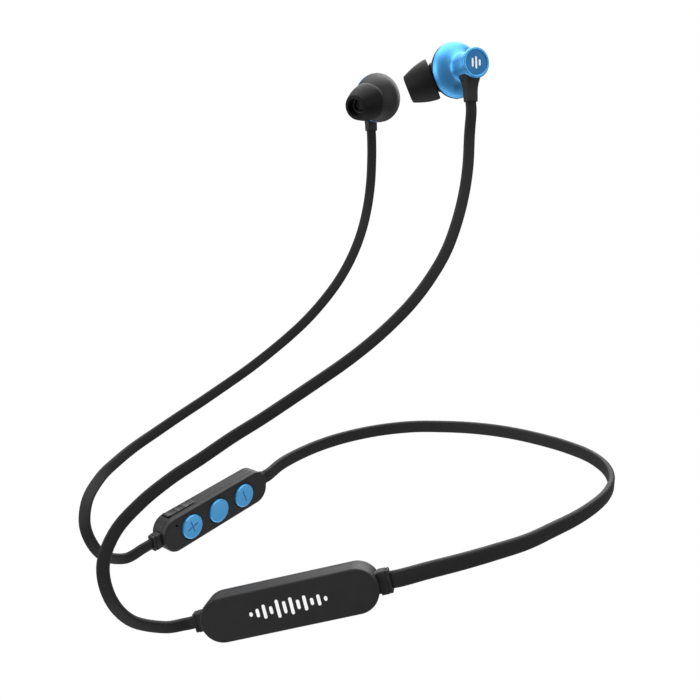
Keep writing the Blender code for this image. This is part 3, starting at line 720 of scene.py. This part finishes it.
def build_battery_pod(looks):
    matrix = pod_matrix(BATTERY_PLACE)
    half_length = BATTERY_SIZE[0] / 2
    corner = BATTERY_SIZE[2] / 2
    front = shell_front(BATTERY_SIZE, corner, 0.4, BATTERY_WALL, BATTERY_SEAM_Y)
    add_piece("battery_pod_front", front, matrix, looks["soft"], 40, ["battery_front_shell"])
    rear = shell_rear(BATTERY_SIZE, corner, 0.5, BATTERY_WALL, BATTERY_SEAM_Y)
    add_piece("battery_pod_rear", rear, matrix, looks["soft"], 40, ["battery_rear_shell"])
    grommet("battery_neck_gland", "battery_neck_grommet", matrix, 1, half_length, NECK_GROMMET,
            looks["soft"])
    grommet("battery_ear_gland", "battery_ear_grommet", matrix, -1, half_length, EAR_GROMMET,
            looks["soft"])
    mark = sound_bars("battery_sound_bars", matrix, BAR_HEIGHTS, BAR_WIDTH, BAR_PITCH,
                      -BATTERY_SIZE[1] / 2, looks["print"])
    attach(mark, [])


def button_mark(name):
    """The engraved sign of a button as cutter boxes: a plus, a bar or nothing."""
    face = -REMOTE_SIZE[1] / 2 - BUTTON_PROUD
    upright = (MARK_WIDTH / 2, MARK_LENGTH / 2)
    across = (MARK_LENGTH / 2, MARK_WIDTH / 2)
    signs = {"plus": (upright, across), "minus": (upright,), "play": ()}
    cutters = []
    for half_x, half_z in signs[name]:
        cutter = box((-half_x, face - 1, -half_z), (half_x, face + MARK_DEPTH, half_z))
        cutter.transform(Matrix.Rotation(MARK_TURN, 4, "Y"))
        cutters.append(cutter)
    return cutters


def button(name, matrix, x, looks):
    """A round button: a rounded rim, a shallow dish and an engraved sign."""
    face = -REMOTE_SIZE[1] / 2 - BUTTON_PROUD
    here = matrix @ Matrix.Translation(Vector((x, 0, 0)) * MM)
    rise = -face
    profile = [(0, rise - 0.14), (1.2, rise - 0.13), (2.3, rise - 0.09), (3.0, rise - 0.03),
               (3.25, rise), (3.4, rise - 0.01), (3.55, rise - 0.07), (3.63, rise - 0.18),
               (BUTTON_RADIUS, rise - 0.35), (BUTTON_RADIUS, 1.85), (4.05, 1.85), (4.05, 1.45),
               (0, 1.45)]
    obj = new_object(name + "_key", turned(profile, 64, matrix=Z_TO_MINUS_Y), here,
                     looks["button"])
    carve(obj, *button_mark(name))
    obj.data.materials.append(looks["engraving"])
    floor = (face + MARK_DEPTH) * MM
    for polygon in obj.data.polygons:
        flat = polygon.normal.y < -0.99
        if flat and abs(polygon.center.y - floor) < 0.02 * MM:
            polygon.material_index = 1
    smooth(obj, 35)
    attach(obj, [name + "_button"], name + "_key")


def remote_front(matrix, looks):
    """The shell that faces out, with three button holes and the microphone's hole."""
    face = -REMOTE_SIZE[1] / 2
    obj = new_object("remote_pod_front",
                     shell_front(REMOTE_SIZE, REMOTE_CORNER, 0.35, REMOTE_WALL, REMOTE_SEAM_Y),
                     matrix, looks["soft"])
    mouth = BUTTON_HOLE_RADIUS + HOLE_CHAMFER
    hole = [(0, face - 1), (mouth, face - 1), (mouth, face),
            (BUTTON_HOLE_RADIUS, face + HOLE_CHAMFER), (BUTTON_HOLE_RADIUS, face + 1.5),
            (0, face + 1.5)]
    for k in (-1, 0, 1):
        place = Matrix.Translation((k * BUTTON_PITCH, 0, 0)) @ Z_TO_PLUS_Y
        carve(obj, turned(hole, 64, matrix=place))
    mic_x, mic_z = MICROPHONE_XZ
    mic = [(0, face - 1), (0.5, face - 1), (0.5, face), (0.4, face + 0.1), (0.4, face + 0.8),
           (0, face + 0.8)]
    mic_place = Matrix.Translation((mic_x, 0, mic_z)) @ Z_TO_PLUS_Y
    carve(obj, turned(mic, 24, matrix=mic_place))
    smooth(obj, 32)
    attach(obj, ["remote_front_shell"])


def remote_rear(matrix, looks):
    """The deep shell behind the seam, cut for the charging door, its thumb notch and the socket."""
    side = REMOTE_SIZE[2] / 2
    obj = new_object("remote_pod_rear",
                     shell_rear(REMOTE_SIZE, REMOTE_CORNER, 0.5, REMOTE_WALL, REMOTE_SEAM_Y),
                     matrix, looks["soft"])
    recess = box((-16.75, -0.62, 4.7), (-5.95, 2.2, side + 1))
    notch = box((-16.75, -1.02, 4.85), (-15.2, 0.0, side + 1))
    socket = box((USB_CENTRE_X - 4.0, USB_CENTRE_Y - 1.5, 4.0),
                 (USB_CENTRE_X + 4.0, USB_CENTRE_Y + 1.5, side))
    carve(obj, recess, notch, socket)
    smooth(obj, 32)
    attach(obj, ["remote_rear_shell"])


def usb_flap(matrix, looks):
    """The rubber door: a thin plate, a raised grip lip, two ribs and the plug behind it."""
    y0, y1 = USB_CENTRE_Y - 1.18, USB_CENTRE_Y + 1.56
    outline = [(-6.1, 5.45), (-7.0, 5.52), (-9.8, 5.52), (-9.9, 5.58), (-10.1, 5.58),
               (-10.2, 5.52), (-12.4, 5.52), (-12.5, 5.58), (-12.7, 5.58), (-12.8, 5.52),
               (-15.4, 5.52), (-15.6, 5.66), (-15.8, 5.76), (-16.5, 5.76), (-16.7, 5.66),
               (-16.6, 5.5), (-16.4, 5.42), (-16.4, 5.0), (-6.1, 5.0)]
    obj = new_object("usb_flap", loft([[(x, y, z) for x, z in outline] for y in (y0, y1)]),
                     matrix, looks["soft"])
    plug = box((USB_CENTRE_X - 3.0, USB_CENTRE_Y - 0.6, 4.0),
               (USB_CENTRE_X + 3.0, USB_CENTRE_Y + 0.6, 5.2))
    carve(obj, plug, operation="UNION")
    soften(obj, 0.07, 2, 35)
    attach(obj, ["usb_door"], "charging_door")


def build_remote_pod(looks):
    matrix = pod_matrix(REMOTE_PLACE)
    half_length = REMOTE_SIZE[0] / 2
    remote_front(matrix, looks)
    remote_rear(matrix, looks)
    for k, name in enumerate(BUTTONS):
        button(name, matrix, (k - 1) * BUTTON_PITCH, looks)
    usb_flap(matrix, looks)
    grommet("remote_neck_gland", "remote_neck_grommet", matrix, 1, half_length,
            REMOTE_NECK_GROMMET, looks["soft"])
    grommet("remote_ear_gland", "remote_ear_grommet", matrix, -1, half_length,
            REMOTE_EAR_GROMMET, looks["soft"])


# ---- earbuds ----------------------------------------------------------------------------------
def bud_bell(side, looks):
    """The turned bell and stem in one skin, with rounded rims."""
    rim = BELL_RIM_Z + 0.2
    flare = smoothed([(7.87, -0.95), (7.65, -1.35), (7.3, -1.85), (6.75, -2.35), (6.05, -2.85),
                      (5.3, -3.3), (4.65, -3.72), (4.2, -4.08), (3.97, -4.38)])
    outside = [(7.5, rim), (7.72, rim - 0.02), (7.84, rim - 0.1), (7.93, rim - 0.24),
               (BELL_RADIUS, -0.7)] + flare
    stem = [(3.88, -4.6), (3.8, -4.95), (STEM_RADIUS, -5.6), (STEM_RADIUS, STEM_END_Z + 0.12),
            (3.66, STEM_END_Z), (3.0, STEM_END_Z)]
    inside = [(3.0, -4.2), (4.1, -3.1), (5.3, -2.45), (6.2, -1.6), (7.1, -1.5), (7.2, rim)]
    add_piece(side + "_bell", turned(outside + stem + inside, 96, ring=True),
              bud_matrix(side), looks["anodised"], 40, [side + "_housing"])


def bud_cap(side, looks):
    """The end cap: a rounded bright rim, a step down and a spun disc with a printed mark."""
    top = STEM_END_Z - 0.06
    outer = STEM_RADIUS + 0.4
    back = STEM_END_Z - GAP - 0.6
    disc = back + CAP_SINK
    profile = [(0, disc), (CAP_DISC_RADIUS, disc), (3.42, back + 0.26), (3.46, back + 0.06),
               (3.53, back), (3.88, back - 0.02), (4.05, back + 0.07), (outer, back + 0.26),
               (outer, top - 0.1), (outer - 0.08, top), (0, top)]
    matrix = bud_matrix(side)
    obj = new_object(side + "_cap", turned(profile, 96), matrix, looks["anodised"])
    obj.data.materials.append(looks["spun"])
    for polygon in obj.data.polygons:
        central = polygon.center.xy.length < CAP_DISC_RADIUS * MM
        if central and polygon.center.z < (disc + 0.1) * MM:
            polygon.material_index = 1
    smooth(obj, 30)
    attach(obj, [side + "_end_cap"])
    face = matrix @ Matrix.Translation(Vector((0, 0, disc)) * MM) @ Z_TO_MINUS_Y
    mark = sound_bars(side + "_cap_bars", face, CAP_BAR_HEIGHTS, CAP_BAR_WIDTH, CAP_BAR_PITCH,
                      0.0, looks["print"])
    attach(mark, [])


def bud_cover(side, looks):
    """The black front: a dome that flows into the angled nozzle's root."""
    matrix = bud_matrix(side)
    back = BELL_RIM_Z + 0.24
    dome = smoothed([(8.1, -0.02), (7.95, 0.3), (7.58, 0.85), (6.95, 1.7), (6.05, 2.8),
                     (4.8, 3.85), (3.1, 4.68), (1.2, 5.03)], 3)
    dome = [(0, back), (7.98, back), (8.07, back + 0.1)] + dome + [(0, 5.1)]
    obj = new_object(side + "_cover", turned(dome, 72), matrix, looks["soft"])
    root = [(0, 2.6), (3.6, 2.6), (4.5, 4.6), (4.4, 5.9), (3.6, 6.5), (NOZZLE_RADIUS, 6.9),
            (NOZZLE_RADIUS, 8.6), (0, 8.6)]
    along = matrix.inverted() @ nozzle_matrix(side)
    along.translation = along.translation / MM
    carve(obj, turned(root, 48, matrix=along), operation="UNION")
    remesh = obj.modifiers.new("blend", "REMESH")
    remesh.mode = "VOXEL"
    remesh.voxel_size = COVER_VOXEL * MM
    relax = obj.modifiers.new("relax", "SMOOTH")
    relax.factor = 0.5
    relax.iterations = 12
    apply_modifiers(obj)
    smooth(obj, 60)
    attach(obj, [side + "_front_cover"])


def bud_nozzle(side, looks):
    """The sound tube, with a bead that holds the ear tip."""
    tube = [(NOZZLE_RADIUS, 7.2), (NOZZLE_RADIUS, 11.3), (2.74, 11.45), (2.78, 11.75),
            (2.7, 12.0), (2.5, NOZZLE_END), (2.1, NOZZLE_END), (NOZZLE_BORE, NOZZLE_END - 0.15),
            (NOZZLE_BORE, 8.2), (0.9, 7.2)]
    add_piece(side + "_nozzle", turned(tube, 56, ring=True), nozzle_matrix(side),
              looks["soft"], 35, [])


def screen_cell(mesh_data, x, y):
    """One hexagonal frame of the perforated disc, round a hexagonal hole."""
    back = SCREEN_FRONT - SCREEN_THICKNESS
    outer = SCREEN_PITCH / math.sqrt(3)
    inner = outer * SCREEN_OPENING
    turns = [math.pi / 3 * (k + 0.5) for k in range(6)]
    loops = []
    for radius, z in ((outer, SCREEN_FRONT), (outer, back), (inner, back), (inner, SCREEN_FRONT)):
        corners = [(x + radius * math.cos(a), y + radius * math.sin(a), z) for a in turns]
        loops.append([mesh_data.verts.new(corner) for corner in corners])
    for first, second in zip(loops, loops[1:] + loops[:1]):
        for k in range(6):
            following = (k + 1) % 6
            mesh_data.faces.new((first[k], first[following], second[following], second[k]))


def nozzle_screen(side, looks):
    """The perforated steel disc in the nozzle's mouth; its near-black colour is painted shade for
    the deep bore.
    """
    mesh_data = bmesh.new()
    reach = NOZZLE_BORE - 0.12
    rows = int(reach / SCREEN_PITCH) + 2
    for row in range(-rows, rows + 1):
        for column in range(-rows, rows + 1):
            x = (column + 0.5 * (row % 2)) * SCREEN_PITCH
            y = row * SCREEN_PITCH * math.sqrt(3) / 2
            if math.hypot(x, y) <= reach - SCREEN_PITCH * 0.5:
                screen_cell(mesh_data, x, y)
    bmesh.ops.recalc_face_normals(mesh_data, faces=mesh_data.faces)
    obj = new_object(side + "_screen", mesh_data, nozzle_matrix(side), looks["shade_dark_steel"])
    attach(obj, [side + "_nozzle_mesh"])


def bud_tip(side, looks):
    """The silicone tip: a thin tapered skirt, a rounded front and a sleeve on the nozzle."""
    skirt = smoothed([(5.97, TIP_RIM + 0.35), (5.93, 7.6), (5.66, 9.2), (5.2, 10.9),
                      (4.62, 12.5), (4.1, 13.75)])
    front = [(3.98, 13.95), (3.9, 14.07), (3.8, 14.13), (3.5, 14.19)]
    mouth = smoothed([(3.3, 14.24), (3.12, TIP_FRONT), (2.95, 14.29), (2.82, 14.15),
                      (2.74, 13.8), (2.6, 13.0)], 3)
    bore = [(2.4, 12.4), (2.9, 12.35), (2.9, 7.3), (3.05, 7.15), (3.4, 7.15), (3.5, 7.3)]
    inside = smoothed([(3.5, 11.2), (3.7, 11.8), (4.05, 11.9), (4.5, 11.2), (5.0, 9.7),
                       (5.38, 8.2), (5.56, 7.0), (5.6, TIP_RIM + 0.2)], 3)
    rim = [(5.66, TIP_RIM + 0.04), (5.76, TIP_RIM - 0.04), (5.88, TIP_RIM), (5.95, TIP_RIM + 0.14)]
    profile = skirt + front + mouth + bore + inside + rim
    add_piece(side + "_silicone_tip", turned(profile, 80, ring=True), nozzle_matrix(side),
              looks["silicone"], 50, [side + "_ear_tip"], side + "_tip")


def relief_ring(y, half_x, half_z):
    """One eight-cornered ring of the strain relief, with chamfered corners."""
    ring = []
    for k, (sign_x, sign_z) in enumerate(((1, 1), (-1, 1), (-1, -1), (1, -1))):
        wide = (sign_x * half_x, y, RELIEF_CENTRE_Z + sign_z * (half_z - RELIEF_CHAMFER))
        deep = (sign_x * (half_x - RELIEF_CHAMFER), y, RELIEF_CENTRE_Z + sign_z * half_z)
        ring += [wide, deep] if k % 2 == 0 else [deep, wide]
    return ring


def bud_relief(side, looks):
    """The strain relief: a chamfered block that flares into a saddle under the stem."""
    steps = [(RELIEF_BOTTOM_Y - GAP - 0.05, 1.92, 1.15), (-9.5, 1.98, 1.2), (-7.6, 2.0, 1.25),
             (-6.3, 2.06, 1.36), (-5.2, 2.2, 1.56), (-4.2, 2.42, 1.85), (-3.3, 2.62, 2.1),
             (-2.4, 2.7, 2.2)]
    rings = [relief_ring(*step) for step in steps]
    obj = new_object(side + "_relief", loft(rings), bud_matrix(side), looks["soft"])
    radius = STEM_RADIUS + 0.03
    carve(obj, turned([(0, -14), (radius, -14), (radius, 0), (0, 0)], 64))
    soften(obj, 0.12, 3, 22)
    attach(obj, [side + "_strain_relief"])


def build_bud(side, looks):
    bud_bell(side, looks)
    bud_cap(side, looks)
    bud_cover(side, looks)
    bud_nozzle(side, looks)
    nozzle_screen(side, looks)
    bud_tip(side, looks)
    bud_relief(side, looks)


# ---- cables -----------------------------------------------------------------------------------
def pod_exit(place, side, pod_size, grommet_size):
    """Where a cable leaves a pod, and a point straight out from it."""
    matrix = pod_matrix(place)
    outward = matrix.to_3x3() @ Vector((side, 0, 0))
    start = matrix.translation / MM + outward * (pod_size[0] / 2 + grommet_size[0] + GAP)
    return start, start + outward * CABLE_LEAD


def bud_exit(side):
    """Where a cable leaves a bud's strain relief, and a point straight down from it."""
    matrix = bud_matrix(side)
    down = matrix.to_3x3() @ Vector((0, -1, 0))
    offset = matrix.to_3x3() @ Vector((0, RELIEF_BOTTOM_Y - GAP, RELIEF_CENTRE_Z))
    end = matrix.translation / MM + offset
    return end, end + down * CABLE_LEAD


def key_blend(keys, position):
    """The direction between (position, direction) keys, blended smoothly."""
    for (start, first), (end, second) in zip(keys, keys[1:]):
        if position <= end:
            t = (position - start) / (end - start)
            t = t * t * (3 - 2 * t)
            return first.lerp(second, t).normalized()
    return keys[-1][1]


def ribbon(name, node, route, start, end, size, length, width_at, look):
    """A flat cable along its route. width_at gives the wide direction from position, tangent."""
    points = [*start, *(Vector(p) for p in route), *reversed(end)]
    last = len(points) - 1
    count = int(length / MM / RING_SPACING)
    centres = [spline_point(points, last * k / count) for k in range(count + 1)]
    section = rounded_outline(*size, size[1] * CABLE_EDGE, SECTION_STEPS)
    rings = []
    for k, centre in enumerate(centres):
        before = centres[max(k - 1, 0)]
        after = centres[min(k + 1, count)]
        tangent = (after - before).normalized()
        wide = width_at(k / count, tangent)
        flat = tangent.cross(wide).normalized()
        rings.append([centre + wide * a + flat * b for a, b in section])
    obj = new_object(name, loft(rings), Matrix.Identity(4), look)
    smooth(obj, 50)
    attach(obj, [node])


def facing(keys):
    """The wide direction of a ribbon whose flat side faces along the keyed directions."""
    return lambda position, tangent: key_blend(keys, position).cross(tangent).normalized()


def standing(keys):
    """The wide direction of a ribbon that stands on edge along the keyed directions."""
    def wide(position, tangent):
        up = key_blend(keys, position)
        return (up - tangent * up.dot(tangent)).normalized()
    return wide


def build_cables(look):
    battery = pod_matrix(BATTERY_PLACE).to_3x3()
    remote = pod_matrix(REMOTE_PLACE).to_3x3()
    left_bud = bud_matrix("left").to_3x3()
    right_bud = bud_matrix("right").to_3x3()
    forward = Vector((0, 1, 0))
    ribbon("left_ear_ribbon", "left_ear_cable", LEFT_EAR_ROUTE,
           pod_exit(BATTERY_PLACE, -1, BATTERY_SIZE, EAR_GROMMET), bud_exit("left"), EAR_CABLE,
           LEFT_EAR_LENGTH,
           facing([(0, battery.col[1]), (0.12, forward), (0.8, forward), (1, left_bud.col[2])]),
           look)
    ribbon("right_ear_ribbon", "right_ear_cable", RIGHT_EAR_ROUTE,
           pod_exit(REMOTE_PLACE, -1, REMOTE_SIZE, REMOTE_EAR_GROMMET), bud_exit("right"),
           EAR_CABLE, RIGHT_EAR_LENGTH,
           facing([(0, remote.col[1]), (0.14, forward), (0.8, forward), (1, -right_bud.col[2])]),
           look)
    upright = Vector((0, 0, 1))
    ribbon("neck_ribbon", "neck_cable", NECK_ROUTE,
           pod_exit(BATTERY_PLACE, 1, BATTERY_SIZE, NECK_GROMMET),
           pod_exit(REMOTE_PLACE, 1, REMOTE_SIZE, REMOTE_NECK_GROMMET), NECK_CABLE, NECK_LENGTH,
           standing([(0, battery.col[2]), (0.3, upright), (0.8, upright), (1, remote.col[2])]),
           look)


# ---- CAD nodes that still show ----------------------------------------------------------------
NODE_LOOKS = {
    "battery_cell": "foil", "battery_foam_pad": "foam", "battery_protection_board": "board",
    "remote_circuit_board": "board", "bluetooth_chip": "chip", "microphone_capsule": "steel",
    "usb_socket_shell": "steel", "usb_socket_tongue": "chip",
}
BUD_NODE_LOOKS = {
    "driver_frame": "chip", "driver_yoke": "steel", "driver_magnet": "steel",
    "voice_coil": "copper", "diaphragm": "film", "damping_disc": "foam",
}


def finish_nodes(nodes, looks):
    """Give every CAD node that still shows its finished material."""
    wanted = dict(NODE_LOOKS)
    for name in BUTTONS:
        wanted[name + "_switch"] = "steel"
        wanted[name + "_switch_plunger"] = "chip"
    for side in BUD_PLACES:
        for part, look in BUD_NODE_LOOKS.items():
            wanted[side + "_" + part] = look
    for name, look in wanted.items():
        obj = nodes[name]
        obj.data.materials.clear()
        obj.data.materials.append(looks[look])


# ---- camera, lights and floor -----------------------------------------------------------------
def add_camera():
    data = bpy.data.cameras.new("camera")
    data.lens = CAMERA_LENS
    data.clip_start, data.clip_end = CAMERA_CLIP
    camera = bpy.data.objects.new("camera", data)
    camera.location = Vector(CAMERA_PLACE) * MM
    camera.rotation_euler = (math.radians(CAMERA_TILT), 0, 0)
    bpy.context.collection.objects.link(camera)
    bpy.context.scene.camera = camera


def add_light(name, place, size, power):
    """A square softbox, aimed at the object."""
    data = bpy.data.lights.new(name, "AREA")
    data.size = size
    data.energy = power
    light = bpy.data.objects.new(name, data)
    light.location = Vector(place) * MM
    aim = Vector(LIGHT_TARGET) - Vector(place)
    light.rotation_euler = aim.to_track_quat("-Z", "Y").to_euler()
    bpy.context.collection.objects.link(light)


def add_world():
    """A white backdrop for the camera that lights the object only softly."""
    world = bpy.data.worlds.new("white_studio")
    world.use_nodes = True
    tree = world.node_tree
    background = tree.nodes["Background"]
    background.inputs["Color"].default_value = (1, 1, 1, 1)
    seen = add_node(tree, "ShaderNodeLightPath")
    strength = add_node(tree, "ShaderNodeMapRange")
    strength.inputs["To Min"].default_value = STUDIO_GLOW
    strength.inputs["To Max"].default_value = 1.0
    tree.links.new(seen.outputs["Is Camera Ray"], strength.inputs["Value"])
    tree.links.new(strength.outputs["Result"], background.inputs["Strength"])
    bpy.context.scene.world = world
    bpy.context.scene.view_settings.view_transform = "Standard"


def add_floor():
    made, _, shader = new_material("studio_floor", (0.9, 0.9, 0.9), 0.9)
    set_socket(shader, "Emission Color", (1, 1, 1, 1))
    set_socket(shader, "Emission Strength", FLOOR_GLOW)
    mesh_data = bmesh.new()
    bmesh.ops.create_circle(mesh_data, cap_ends=True, segments=96, radius=FLOOR_RADIUS)
    floor = new_object("studio_floor", mesh_data,
                       Matrix.Translation((0, 0, -FLOOR_DROP * MM)), made)


def main():
    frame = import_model()
    add_camera()
    add_world()
    for light in LIGHTS:
        add_light(*light)
    add_floor()
    looks = make_materials()
    build_cables(looks["cable"])
    build_battery_pod(looks)
    build_remote_pod(looks)
    for side in BUD_PLACES:
        build_bud(side, looks)
    finish_nodes(frame["nodes"], looks)


main()
